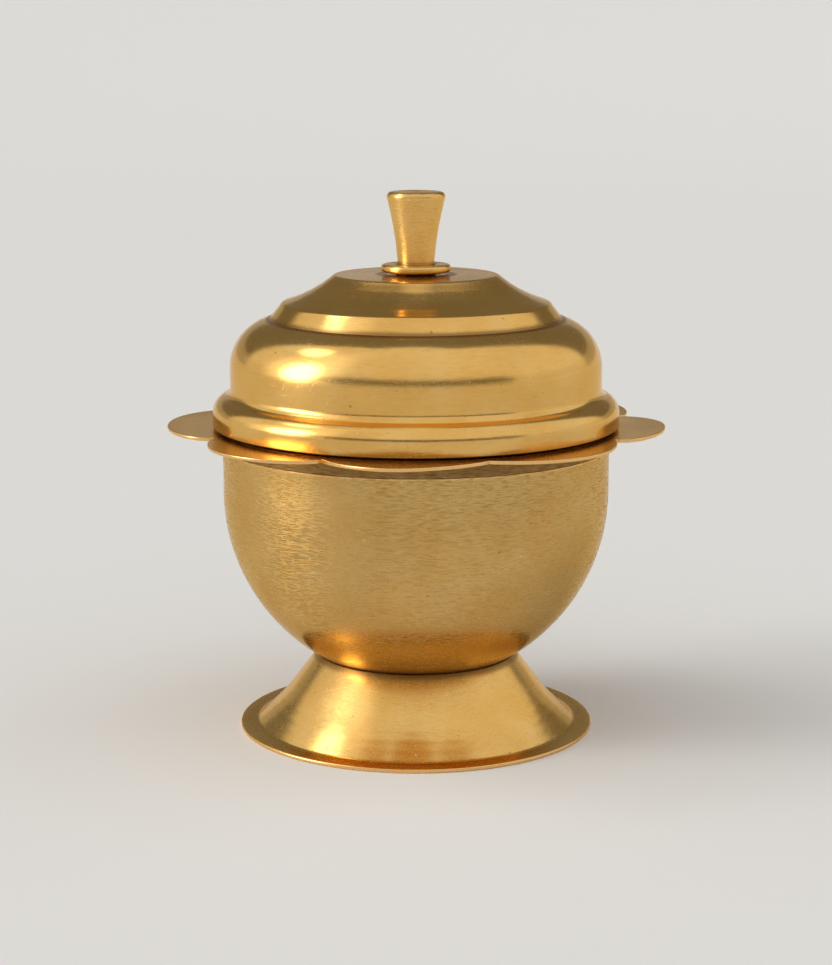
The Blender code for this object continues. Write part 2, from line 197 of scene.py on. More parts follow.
class StageSettings(bpy.types.PropertyGroup):
    """The plain studio."""

    floor: colour("Floor", "Pale floor", (0.83, 0.82, 0.80))
    room: colour("Room", "Soft light from all round", (1.0, 0.99, 0.97))
    room_strength: share("Ceiling", "Brightness of the ceiling and the walls", 0.86, 10.0)
    low_strength: share("Dark parts", "Brightness of the dark parts behind and before the box", 0.20, 10.0)
    wall_strength: share("Walls", "Brightness of the walls just above the floor", 0.74, 10.0)
    backdrop_strength: share("Backdrop", "Brightness of the room where the camera sees it straight", 0.71)
    window_strength: share("Window", "Brightness of the window on the left", 6.0, 40.0)
    camera_lens: FloatProperty(name="Lens", description="Focal length in millimetres", default=87.1, min=20.0)


# Profiles

# How much of a side the roundings at its two ends may take up
SIDE_SHARE = 0.98


def direction(start, end):
    """The unit vector from one point of a profile to another, and the distance between them."""
    reach = math.hypot(end[0] - start[0], end[1] - start[1])
    return ((end[0] - start[0]) / reach, (end[1] - start[1]) / reach), reach


def half_angle(before, corner, after):
    """Half of the angle between the two sides that meet in a corner."""
    back, _ = direction(corner, before)
    on, _ = direction(corner, after)
    return math.acos(max(-1.0, min(1.0, back[0] * on[0] + back[1] * on[1]))) / 2.0


def arc_points(before, corner, after, radius):
    """Points on the arc that rounds a corner."""
    back, _ = direction(corner, before)
    on, _ = direction(corner, after)
    half = half_angle(before, corner, after)
    cut = radius / math.tan(half)
    start = (corner[0] + back[0] * cut, corner[1] + back[1] * cut)
    end = (corner[0] + on[0] * cut, corner[1] + on[1] * cut)
    bisector, _ = direction((0.0, 0.0), (back[0] + on[0], back[1] + on[1]))
    reach = radius / math.sin(half)
    centre = (corner[0] + bisector[0] * reach, corner[1] + bisector[1] * reach)
    first = math.atan2(start[1] - centre[1], start[0] - centre[0])
    last = math.atan2(end[1] - centre[1], end[0] - centre[0])
    turn = (last - first + math.pi) % math.tau - math.pi
    steps = max(3, math.ceil(abs(turn) / ARC_ANGLE))
    angles = [first + turn * step / steps for step in range(steps + 1)]
    return [(centre[0] + radius * math.cos(a), centre[1] + radius * math.sin(a)) for a in angles]


def rounded(corners, closed=False):
    """Points (r, z) through corners (r, z, rounding).

    Roundings that would meet on a side are made smaller.
    """
    count = len(corners)
    halves = [0.0] * count
    cuts = [0.0] * count
    for index, (r, z, rounding) in enumerate(corners):
        if rounding == 0 or (not closed and index in (0, count - 1)):
            continue
        halves[index] = half_angle(corners[index - 1][:2], (r, z), corners[(index + 1) % count][:2])
        cuts[index] = rounding / math.tan(halves[index])
    limits = list(cuts)
    for index in range(count if closed else count - 1):
        following = (index + 1) % count
        _, side = direction(corners[index][:2], corners[following][:2])
        wanted = cuts[index] + cuts[following]
        if wanted > side * SIDE_SHARE:
            limits[index] = min(limits[index], cuts[index] * side * SIDE_SHARE / wanted)
            limits[following] = min(limits[following], cuts[following] * side * SIDE_SHARE / wanted)
    points = []
    for index, corner in enumerate(corners):
        radius = limits[index] * math.tan(halves[index])
        if radius == 0:
            points.append(corner[:2])
        else:
            before = corners[index - 1][:2]
            after = corners[(index + 1) % count][:2]
            points.extend(arc_points(before, corner[:2], after, radius))
    return points


def offset_line(points, distance):
    """The line that runs a distance to the right of a line of points."""
    shifted = []
    for index, point in enumerate(points):
        sides = []
        if index > 0:
            sides.append(direction(points[index - 1], point)[0])
        if index < len(points) - 1:
            sides.append(direction(point, points[index + 1])[0])
        normal = (sum(side[1] for side in sides), -sum(side[0] for side in sides))
        size = math.hypot(*normal)
        stretch = distance * len(sides) / size ** 2
        shifted.append((point[0] + normal[0] * stretch, point[1] + normal[1] * stretch))
    return shifted


def filled_in(points, spacing, closed):
    """The same line with more points, so that no side is longer than the spacing."""
    dense = []
    count = len(points)
    for index in range(count if closed else count - 1):
        start = points[index]
        end = points[(index + 1) % count]
        parts = max(1, math.ceil(math.hypot(end[0] - start[0], end[1] - start[1]) / spacing))
        for part in range(parts):
            along = part / parts
            dense.append((start[0] + (end[0] - start[0]) * along, start[1] + (end[1] - start[1]) * along))
    if not closed:
        dense.append(points[-1])
    return dense


def sheet_loop(outer, sheet, edge_round, spacing):
    """The closed section of a piece spun from sheet, from its outer side, with rounded cut edges."""
    inner = offset_line(outer, sheet)
    loop = [(r, z, 0.0) for r, z in outer] + [(r, z, 0.0) for r, z in reversed(inner)]
    for index in (0, len(outer) - 1, len(outer), len(loop) - 1):
        loop[index] = (loop[index][0], loop[index][1], edge_round)
    return filled_in(rounded(loop, True), spacing, True)


# Meshes

def nearness(point, marks):
    """How close a point of a profile lies to marked places (r, z, reach, amount).

    It is the amount on them, and zero far off.
    """
    strongest = 0.0
    for r, z, reach, amount in marks:
        away = math.hypot(point[0] - r, point[1] - z) / reach
        strongest = max(strongest, amount * math.exp(-away * away))
    return strongest


def even_turn(steps):
    """Evenly spaced angles round the axis."""
    return [math.tau * step / steps for step in range(steps)]


def turned_piece(name, points, closed, angles, creases, worn_and_lit, shape=None):
    """A smooth mesh object from a profile turned about the Z axis.

    It carries how creased each place is, and the marks of rubbing, which on the bowl's edge are a painted
    highlight too.
    """
    steps = len(angles)
    work = bmesh.new()
    crease_layer = work.verts.layers.float.new("crease")
    worn_and_lit_layer = work.verts.layers.float.new("worn_and_lit")
    rings = []
    for point in points:
        crease = nearness(point, creases)
        wear_and_highlight = nearness(point, worn_and_lit)
        on_axis = point[0] < AXIS_REACH
        ring = []
        for angle in angles[:1] if on_axis else angles:
            r, z = shape(point[0], point[1], angle) if shape else point
            vertex = work.verts.new((r * math.cos(angle), r * math.sin(angle), z))
            vertex[crease_layer] = crease
            vertex[worn_and_lit_layer] = wear_and_highlight
            ring.append(vertex)
        rings.append(ring)
    pairs = list(zip(rings, rings[1:]))
    if closed:
        pairs.append((rings[-1], rings[0]))
    for upper, lower in pairs:
        for step in range(steps):
            following = (step + 1) % steps
            corners = []
            for ring, place in ((upper, step), (upper, following), (lower, following), (lower, step)):
                vertex = ring[place % len(ring)]
                if vertex not in corners:
                    corners.append(vertex)
            if len(corners) > 2:
                work.faces.new(corners)
    bmesh.ops.recalc_face_normals(work, faces=work.faces)
    for face in work.faces:
        face.smooth = True
    mesh = bpy.data.meshes.new(name)
    work.to_mesh(mesh)
    work.free()
    piece = bpy.data.objects.new(name, mesh)
    bpy.context.scene.collection.objects.link(piece)
    return piece


def finish_piece(piece, material, node, body):
    """Give a piece its metal, and let it stand for its node and move with its body."""
    piece.data.materials.append(material)
    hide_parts(node)
    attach(piece, body)


# Metals

# Distance from the axis at which the spun pieces' tool strokes have their true length
SPUN_REACH = 0.024

# Finishes of the brass: how rough, how brushed, how deep the tool's lines and how strong its strokes, how
# rare dust is, where in the noise the piece lies, and how hazy the hairlines make it
BOWL_FINISH = (0.14, 0.75, 0.4, 0.05, 0.70, 11.0, 0.38)
FINISHES = {
    "foot_brass": (0.155, 0.5, 0.5, 0.06, 0.90, 1.0, 0.08),
    "bowl_brass": BOWL_FINISH,
    "collar_brass": BOWL_FINISH,
    "petal_brass": (0.18, 0.3, 0.4, 0.06, 0.92, 21.0, 0.0),
    "lid_brass": (0.13, 0.5, 0.7, 0.08, 0.90, 31.0, 0.04),
    "knob_brass": (0.22, 0.9, 0.6, 0.05, 0.95, 41.0, 0.10),
    "washer_brass": (0.3, 0.3, 0.6, 0.1, 0.95, 51.0, 0.0),
}

# Metres for one unit of the line depth, and for the solder's lumps
LINE_UNIT = 0.00001
SOLDER_RELIEF = 0.00008

# Half the thickness of the shell in which the bowl's outside passes into its inside, and half the height of
# the belt in which the bowl's bottom turns smoother
WALL_BLEND = 0.0001
BUFFED_BLEND = 0.0018


class Metal:
    """A metal under construction: its node tree, and short ways to add to it."""

    def __init__(self, name, reach=SPUN_REACH):
        self.reach = reach
        self.material = bpy.data.materials.new(name)
        self.material.use_nodes = True
        self.tree = self.material.node_tree
        self.shader = self.tree.nodes["Principled BSDF"]
        self.coordinates = self.add("ShaderNodeTexCoord").outputs["Object"]
        self.radius, self.height, self.cosine, self.sine = self.turned_coordinates()

    def add(self, kind, inputs=None, **settings):
        """A node with its settings, and its inputs set or linked by name or number."""
        node = self.tree.nodes.new(kind)
        for key, value in settings.items():
            setattr(node, key, value)
        for key, value in (inputs or {}).items():
            self.feed(node.inputs[key], value)
        return node

    def feed(self, socket, value):
        """Set or link one input."""
        if isinstance(value, bpy.types.NodeSocket):
            self.tree.links.new(value, socket)
        else:
            socket.default_value = value

    def maths(self, operation, first, second=0.0, third=0.0):
        """One number made from others."""
        node = self.add("ShaderNodeMath", {0: first, 1: second, 2: third}, operation=operation)
        return node.outputs["Value"]

    def ramp(self, value, low, high, new_low=0.0, new_high=1.0):
        """A number moved smoothly from one range to another, and held at its ends."""
        inputs = {"Value": value, "From Min": low, "From Max": high, "To Min": new_low, "To Max": new_high}
        return self.add("ShaderNodeMapRange", inputs, interpolation_type="SMOOTHSTEP").outputs["Result"]

    def blend(self, amount, first, second, blend_type="MIX"):
        """One colour made from two."""
        node = self.add("ShaderNodeMix", {"Factor": amount}, data_type="RGBA", blend_type=blend_type)
        colours = [socket for socket in node.inputs if socket.type == "RGBA"]
        for socket, value in zip(colours, (first, second)):
            self.feed(socket, value)
        return [socket for socket in node.outputs if socket.type == "RGBA"][0]

    def turned_coordinates(self):
        """Distance from the axis, height, and the cosine and sine of the angle round it."""
        place = self.add("ShaderNodeSeparateXYZ", {0: self.coordinates})
        flat = self.add("ShaderNodeCombineXYZ", {0: place.outputs[0], 1: place.outputs[1]}).outputs[0]
        radius = self.add("ShaderNodeVectorMath", {0: flat}, operation="LENGTH").outputs["Value"]
        around = self.add("ShaderNodeVectorMath", {0: flat}, operation="NORMALIZE").outputs["Vector"]
        turn = self.add("ShaderNodeSeparateXYZ", {0: around})
        return radius, place.outputs[2], turn.outputs[0], turn.outputs[1]

    def rings(self, per_metre, stroke, detail):
        """Noise drawn out into rings about the axis, as a spinning tool leaves.

        Its strokes have a length in metres.
        """
        drift = self.reach / stroke
        across = self.maths("MULTIPLY", self.cosine, drift / per_metre)
        along = self.maths("MULTIPLY", self.sine, drift / per_metre)
        vector = self.add("ShaderNodeCombineXYZ", {0: self.radius, 1: self.height, 2: across}).outputs[0]
        inputs = {"Vector": vector, "W": along, "Scale": per_metre, "Detail": detail, "Roughness": 0.6}
        return self.add("ShaderNodeTexNoise", inputs, noise_dimensions="4D").outputs["Fac"]

    def clouds(self, per_metre, detail=4.0, shift=0.0):
        """Soft noise in all directions."""
        inputs = {"Vector": self.coordinates, "W": shift, "Scale": per_metre, "Detail": detail}
        inputs["Roughness"] = 0.55
        return self.add("ShaderNodeTexNoise", inputs, noise_dimensions="4D").outputs["Fac"]

    def hairlines(self, turn, rarity):
        """Short straight hairlines that lie along one direction."""
        scale = (1.0 / 4200.0, 1.0 / 4200.0, 1.0 / 230.0)
        inputs = {"Vector": self.coordinates, "Rotation": turn, "Scale": scale}
        vector = self.add("ShaderNodeMapping", inputs, vector_type="TEXTURE").outputs[0]
        inputs = {"Vector": vector, "Scale": 1.0, "Detail": 0.0}
        value = self.add("ShaderNodeTexNoise", inputs, noise_dimensions="3D").outputs["Fac"]
        return self.ramp(value, rarity, rarity + 0.05)

    def specks(self, per_metre, size, rarity):
        """Small uneven specks, in a few of the cells of a random pattern."""
        inputs = {"Vector": self.coordinates, "Scale": per_metre * 6.0, "Detail": 1.0}
        push = self.add("ShaderNodeTexNoise", inputs, noise_dimensions="3D").outputs["Color"]
        inputs = {0: push, 1: (0.5, 0.5, 0.5)}
        push = self.add("ShaderNodeVectorMath", inputs, operation="SUBTRACT").outputs["Vector"]
        inputs = {0: push, 1: (0.25 / per_metre,) * 3, 2: self.coordinates}
        place = self.add("ShaderNodeVectorMath", inputs, operation="MULTIPLY_ADD").outputs["Vector"]
        inputs = {"Vector": place, "Scale": per_metre, "Randomness": 1.0}
        cells = self.add("ShaderNodeTexVoronoi", inputs, voronoi_dimensions="3D", feature="F1")
        pick = self.add("ShaderNodeSeparateColor", {0: cells.outputs["Color"]})
        chosen = self.maths("GREATER_THAN", pick.outputs[0], rarity)
        wide = self.maths("MULTIPLY_ADD", pick.outputs[1], size * 0.7, size * 0.3)
        inside = self.maths("LESS_THAN", cells.outputs["Distance"], wide)
        return self.maths("MULTIPLY", chosen, inside)

    def outside(self, centre, wall):
        """One outside a round-bottomed cup, and zero inside it.

        The height of its centre and the radius of its wall are given.
        """
        below = self.maths("MINIMUM", self.maths("SUBTRACT", self.height, centre), 0.0)
        square = self.maths("MULTIPLY_ADD", below, below, self.maths("MULTIPLY", self.radius, self.radius))
        return self.ramp(self.maths("SQRT", square), wall - WALL_BLEND, wall + WALL_BLEND)

    def marked(self, name):
        """A number that the mesh carries."""
        return self.add("ShaderNodeAttribute", attribute_name=name).outputs["Fac"]


def opaque(value):
    """A colour with full alpha."""
    return (*value, 1.0)


def brass(name, base, reach=SPUN_REACH, lining=None):
    """Spun or turned brass: rings left by the tool, clouds of handling, hairlines, dust, tarnish in creases
    (under the petals painted shade as well), and rubbed edges in the cut colour (on the bowl's edge a painted
    highlight as well).

    A lining is the height of a bowl's centre, the radius of its wall and the height where it turns smoother.
    """
    roughness, anisotropy, lines, strokes, dust_rarity, shift, haze = FINISHES[name]
    colours = bpy.context.scene.kumkum_brass
    metal = Metal(name, reach)
    fine = metal.rings(4200.0, 0.0092, 2.0)
    broad = metal.rings(1100.0, 0.018, 3.0)
    bands = metal.rings(260.0, 0.034, 2.0)
    brushed = metal.rings(5600.0, 0.0013, 1.0)
    hair = metal.rings(13000.0, 0.0011, 0.0)
    mottle = metal.clouds(150.0, 5.0, shift)
    waves = metal.clouds(70.0, 1.0, shift + 2.0)
    handling = metal.clouds(55.0, 3.0, shift + 4.0)
    grain = metal.clouds(3300.0, 2.0, shift + 8.0)
    scratched = metal.hairlines((0.35, 0.5, 0.0), 0.72)
    for turn, rarity in (((1.2, 0.35, 0.9), 0.73), ((0.5, -0.9, 0.4), 0.74), ((1.45, 1.3, 0.2), 0.73)):
        scratched = metal.maths("MAXIMUM", scratched, metal.hairlines(turn, rarity))
    pits = metal.ramp(metal.clouds(1900.0, 1.0, shift + 12.0), 0.73, 0.78)
    dust = metal.specks(1050.0, 0.085, dust_rarity)
    crease = metal.marked("crease")
    worn_and_lit = metal.marked("worn_and_lit")

    # Tarnish lies in the creases and in a few clouds; under the petals and on the collar this darkening is
    # painted shade as well
    ragged = metal.maths("ADD", metal.maths("MULTIPLY", crease, 1.25), metal.maths("MULTIPLY", mottle, 0.55))
    film = metal.maths("MULTIPLY", metal.ramp(ragged, 0.55, 1.35), colours.tarnish_amount)
    light_film = metal.ramp(handling, 0.45, 0.75, 0.0, 0.14)
    warm = (base[0] * 0.95, base[1] * 0.87, base[2] * 0.70)
    tone = metal.blend(metal.ramp(mottle, 0.3, 0.7), opaque(base), opaque(warm))
    dark = [c * 0.7 for c in base]
    darker = [c * 0.62 for c in base]
    tone = metal.blend(metal.ramp(broad, 0.35, 0.75, 0.0, strokes), tone, opaque(dark))
    tone = metal.blend(metal.ramp(brushed, 0.45, 0.75, 0.0, strokes * 2.2), tone, opaque(darker))
    tone = metal.blend(metal.ramp(brushed, 0.25, 0.42, strokes * 1.4, 0.0), tone, opaque(colours.cut))
    tone = metal.blend(light_film, tone, opaque(colours.tarnish))
    tone = metal.blend(film, tone, opaque(colours.tarnish))
    tone = metal.blend(metal.maths("MULTIPLY", pits, 0.55), tone, opaque(colours.tarnish))
    tone = metal.blend(metal.maths("MULTIPLY", scratched, 0.10), tone, opaque(colours.cut))
    # Cut colour on the marked edges: rubbing, and on the bowl's edge a painted highlight
    tone = metal.blend(metal.maths("MULTIPLY", worn_and_lit, 0.8), tone, opaque(colours.cut))
    tone = metal.blend(dust, tone, opaque(colours.dust))
    metal.feed(metal.shader.inputs["Base Color"], tone)

    # Sheen varies with the lines, the clouds and the rubbed edges
    gloss = metal.ramp(handling, 0.3, 0.7, roughness * 0.8, roughness * 1.25)
    gloss = metal.maths("ADD", gloss, metal.ramp(bands, 0.3, 0.7, -0.015, 0.025))
    gloss = metal.maths("ADD", gloss, metal.ramp(brushed, 0.4, 0.7, 0.0, strokes * 0.35))
    if haze:
        hazy = metal.ramp(hair, 0.49, 0.59, 0.0, haze)
        if lining:
            centre, wall, buffed = lining
            outside = metal.outside(centre, wall)
            hazy = metal.maths("MULTIPLY", hazy, metal.maths("MULTIPLY_ADD", outside, 0.85, 0.15))
            brushed_up = metal.ramp(metal.height, buffed - BUFFED_BLEND, buffed + BUFFED_BLEND, 0.25, 1.0)
            hazy = metal.maths("MULTIPLY", hazy, brushed_up)
            hazy = metal.maths("ADD", hazy, metal.maths("MULTIPLY_ADD", outside, -0.07, 0.07))
        gloss = metal.maths("ADD", gloss, hazy)
    gloss = metal.maths("ADD", gloss, metal.maths("MULTIPLY", film, 0.20))
    gloss = metal.maths("ADD", gloss, metal.maths("MULTIPLY", pits, 0.15))
    gloss = metal.maths("ADD", gloss, metal.maths("MULTIPLY", worn_and_lit, 0.08))
    gloss = metal.maths("ADD", gloss, metal.maths("MULTIPLY", scratched, 0.06))
    gloss = metal.maths("MAXIMUM", gloss, metal.maths("MULTIPLY", dust, 0.85))
    metal.feed(metal.shader.inputs["Roughness"], gloss)
    metal.feed(metal.shader.inputs["Metallic"], metal.maths("SUBTRACT", 1.0, dust))
    metal.shader.inputs["Anisotropic"].default_value = anisotropy
    metal.shader.inputs["Anisotropic Rotation"].default_value = 0.25
    metal.shader.inputs["Specular Tint"].default_value = (1.0, 0.86, 0.62, 1.0)
    tangent = metal.add("ShaderNodeTangent", direction_type="RADIAL", axis="Z")
    metal.feed(metal.shader.inputs["Tangent"], tangent.outputs[0])

    # Relief, in units of the line depth: tool lines, a faint unevenness, grain, hairlines and dust
    relief = metal.maths("MULTIPLY", fine, lines)
    for height, amount in (
        (broad, lines * 1.5),
        (bands, lines * 4.0),
        (brushed, lines * 0.7),
        (waves, 22.0),
        (mottle, 3.0),
        (grain, 0.12),
        (scratched, -0.08),
        (pits, -0.35),
        (dust, 3.0),
    ):
        relief = metal.maths("MULTIPLY_ADD", height, amount, relief)
    bump = metal.add("ShaderNodeBump", {"Height": relief, "Strength": 1.0})
    bump.inputs["Distance"].default_value = colours.line_depth * LINE_UNIT
    metal.feed(metal.shader.inputs["Normal"], bump.outputs["Normal"])
    return metal.material


def bowl_metal(name):
    """The brass of the bowl and of its collar: brushed and hazy outside, plainer inside and near the foot."""
    satin = bpy.context.scene.kumkum_brass.satin
    bowl = bpy.context.scene.kumkum_bowl
    centre = bowl_centre_height()
    lining = (centre, bowl.radius - bowl.sheet * 0.5, centre - bowl.buffed_drop)
    return brass(name, satin, lining=lining)


def solder_metal(name):
    """Dull, lumpy solder."""
    colours = bpy.context.scene.kumkum_brass
    metal = Metal(name)
    lumps = metal.clouds(900.0, 4.0)
    stain = metal.clouds(350.0, 3.0, 6.0)
    dark = [c * 0.45 for c in colours.solder]
    tone = metal.blend(metal.ramp(stain, 0.35, 0.7), opaque(colours.solder), opaque(dark))
    metal.feed(metal.shader.inputs["Base Color"], tone)
    metal.feed(metal.shader.inputs["Roughness"], metal.ramp(lumps, 0.3, 0.7, 0.38, 0.62))
    metal.shader.inputs["Metallic"].default_value = 0.85
    bump = metal.add("ShaderNodeBump", {"Height": lumps, "Strength": 1.0})
    bump.inputs["Distance"].default_value = SOLDER_RELIEF
    metal.feed(metal.shader.inputs["Normal"], bump.outputs["Normal"])
    return metal.material


# The pieces

# Roundings of the foot's flare and of the bend at its toe
FLARE_ROUND = 0.020
TOE_ROUND = 0.0008

# Drops below the bowl's edge at which its wall has a point, the one where the cut colour marks the edge, as
# rubbing and as a painted highlight, and the rounding of that edge
BOWL_EDGE_DROPS = (0.0, 0.00012, 0.0002, 0.0003, 0.0005)
BOWL_HIGHLIGHT_DROP = 0.0001
BOWL_EDGE_ROUND = 0.00006

# The round blank that the petals are cut from: its radius, the width of the root next to the lip, where the
# tips' bend starts, and the width of the rim that keeps its section
BLANK_RADIUS = 0.0310
BLANK_ROOT = 0.0014
BEND_START = 0.0003
RIM_WIDTH = 0.0004

# How uneven the petals are in their edge and in their bend, how far below them the collar's own finish
# starts, how high on the collar lies the dark mark that is tarnish and painted shade under the petals, and
# what a height may be off and still count as the blank's
EDGE_WOBBLE = 0.00006
BEND_WOBBLE = 0.00010
COLLAR_DEPTH = 0.0001
COLLAR_SHADE_RISE = 0.0007
PLATE_MARGIN = 0.00001

# The solder inside the foot: how much of the foot's sheet it covers, its width on the bowl, how far it
# spreads and runs down the foot, and the small steps of its hollow face
COVERED_SHARE = 0.75
FOOT_SOLDER_WIDTH = 0.00155
FOOT_SOLDER_SPREAD = 0.00035
FOOT_SOLDER_DROP = 0.0016
SOLDER_TIP = 0.0001
SOLDER_HOLLOW = 0.0004
SOLDER_RISE = 0.00045
SOLDER_EDGE = 0.00035

# The solder under the spigot: its gap, its depth on the wall, its width, and how far its face is hollow
RING_SOLDER_GAP = 0.00004
RING_SOLDER_DEPTH = 0.00095
RING_SOLDER_WIDTH = 0.0010
RING_HOLLOW_IN = 0.00035
RING_HOLLOW_DOWN = 0.00040

# Place of the bend in the lid's flank, from the shoulder's corner to the crown's, and its rounding
FLANK_OUT_SHARE = 0.57
FLANK_UP_SHARE = 0.33
FLANK_ROUND = 0.020
LID_EDGE_ROUND = 0.00016

# Length of the knob above its disc, rise of its waist, rounding of its flare, and how far the seat under the
# disc stands out from the stem at its top and at its foot
STEM_LENGTH = 0.00885
WAIST_RISE = 0.00372
STEM_FLARE_ROUND = 0.038
SEAT_TOP_SPREAD = 0.0004
SEAT_LOW_SPREAD = 0.0002


def bowl_centre_height():
    """Height of the centre of the bowl's round part."""
    bowl = bpy.context.scene.kumkum_bowl
    return bowl.bottom_height + bowl.radius


def under_bowl(radius, gap=0.0):
    """Height, at a radius, of the surface that lies a gap below the bowl's round underside."""
    bowl = bpy.context.scene.kumkum_bowl
    return bowl_centre_height() - math.sqrt((bowl.radius + gap) ** 2 - radius ** 2)


def foot_side():
    """The outer side of the foot, from its neck to the edge of its brim."""
    foot = bpy.context.scene.kumkum_foot
    neck_height = under_bowl(foot.neck_radius, FOOT_GAP)
    knee_radius = foot.neck_radius + (foot.toe_radius - foot.neck_radius) * foot.knee_out
    knee_height = neck_height + (foot.sheet - neck_height) * foot.knee_down
    corners = [
        (foot.neck_radius, neck_height, 0.0),
        (knee_radius, knee_height, FLARE_ROUND),
        (foot.toe_radius, foot.sheet, TOE_ROUND),
        (foot.brim_radius, foot.sheet, 0.0),
    ]
    return rounded(corners)


class KUMKUM_OT_foot(bpy.types.Operator):
    """Make the flared foot with its flat brim"""

    bl_idname = "kumkum.foot"
    bl_label = "Foot"

    def execute(self, context):
        foot = context.scene.kumkum_foot
        outer = foot_side()
        points = sheet_loop(outer, foot.sheet, foot.edge_round, SHEET_SPACING)
        creases = [
            (foot.neck_radius, outer[0][1], 0.0011, 1.0),
            (foot.toe_radius, foot.sheet, 0.0005, 0.35),
        ]
        worn_and_lit = [(foot.brim_radius, foot.sheet * 0.5, 0.0005, 0.9)]
        piece = turned_piece("foot_spun", points, True, even_turn(TURN_STEPS), creases, worn_and_lit)
        metal = brass("foot_brass", context.scene.kumkum_brass.polished)
        finish_piece(piece, metal, "foot", "box")
        return {"FINISHED"}


class KUMKUM_OT_bowl(bpy.types.Operator):
    """Make the round bowl"""

    bl_idname = "kumkum.bowl"
    bl_label = "Bowl"

    def execute(self, context):
        bowl = context.scene.kumkum_bowl
        centre = bowl_centre_height()
        outer = [(bowl.radius, bowl.edge_height - down) for down in BOWL_EDGE_DROPS]
        for step in range(BOWL_STEPS + 1):
            angle = math.pi / 2.0 * step / BOWL_STEPS
            outer.append((bowl.radius * math.cos(angle), centre - bowl.radius * math.sin(angle)))
        outer[-1] = (0.0, outer[-1][1])
        inner = offset_line(outer, bowl.sheet)
        inner[-1] = (0.0, inner[-1][1])
        line = [(r, z, 0.0) for r, z in reversed(outer)] + [(r, z, 0.0) for r, z in inner]
        for index in (len(outer) - 1, len(outer)):
            line[index] = (line[index][0], line[index][1], BOWL_EDGE_ROUND)
        points = filled_in(rounded(line), BOWL_SPACING, False)
        neck_radius = context.scene.kumkum_foot.neck_radius
        creases = [(neck_radius, under_bowl(neck_radius), 0.0012, 0.9)]
        # The cut colour along the bowl's edge is rubbing and a painted highlight: the light line under the
        # seam
        worn_and_lit = [(bowl.radius, bowl.edge_height - BOWL_HIGHLIGHT_DROP, 0.00012, 0.8)]
        piece = turned_piece("bowl_spun", points, False, even_turn(TURN_STEPS), creases, worn_and_lit)
        finish_piece(piece, bowl_metal("bowl_brass"), "bowl", "box")
        return {"FINISHED"}


# Petals, hand cut. Each has its two notches and its tip in degrees round from +X, the tip's reach, how
# full its outline is on either side of the tip (two powers a side), and how far it is bent up or down
PETALS = (
    (15.0, 39.0, 60.0, 0.03082, (2.0, 0.55), (2.0, 0.6), 0.00002),
    (60.0, 82.0, 106.0, 0.03074, (2.0, 0.5), (1.8, 0.8), -0.00003),
    (106.0, 130.0, 153.0, 0.03084, (1.9, 0.7), (2.0, 0.5), 0.00003),
    (153.0, 179.0, 200.8, 0.03090, (2.0, 0.55), (2.0, 0.5), 0.0),
    (200.8, 227.0, 245.7, 0.03092, (1.62, 1.0), (2.0, 0.6), 0.00002),
    (245.7, 265.5, 288.7, 0.03088, (1.75, 1.0), (1.45, 1.0), -0.00001),
    (288.7, 311.0, 336.5, 0.03012, (1.9, 1.0), (1.5, 1.0), 0.0),
    (336.5, 358.0, 375.0, 0.03092, (2.0, 0.5), (2.0, 0.6), 0.00001),
)


def petal_angles():
    """Angles round the ring of petals, close together at the notches."""
    angles = []
    for start, _, end, *_ in PETALS:
        for step in range(PETAL_STEPS):
            along = (1.0 - math.cos(math.pi * step / PETAL_STEPS)) / 2.0
            angles.append(math.radians(start + (end - start) * along))
    return angles


def petal_edge(angle, notch_radius):
    """How far the petals reach at an angle, and the bend of that petal's tip."""
    degrees = math.degrees(angle)
    start, peak, end, tip, before, after, bend = next(petal for petal in PETALS if degrees <= petal[2])
    side, powers = (start, before) if degrees < peak else (end, after)
    aside = min(1.0, (degrees - peak) / (side - peak))
    fullness = (1.0 - aside ** powers[0]) ** powers[1]
    wobble = noise.noise(Vector((math.cos(angle) * 9.0, math.sin(angle) * 9.0, 3.0)))
    reach = notch_radius + (tip - notch_radius) * fullness
    return reach + (wobble - 0.4) * EDGE_WOBBLE * fullness, bend


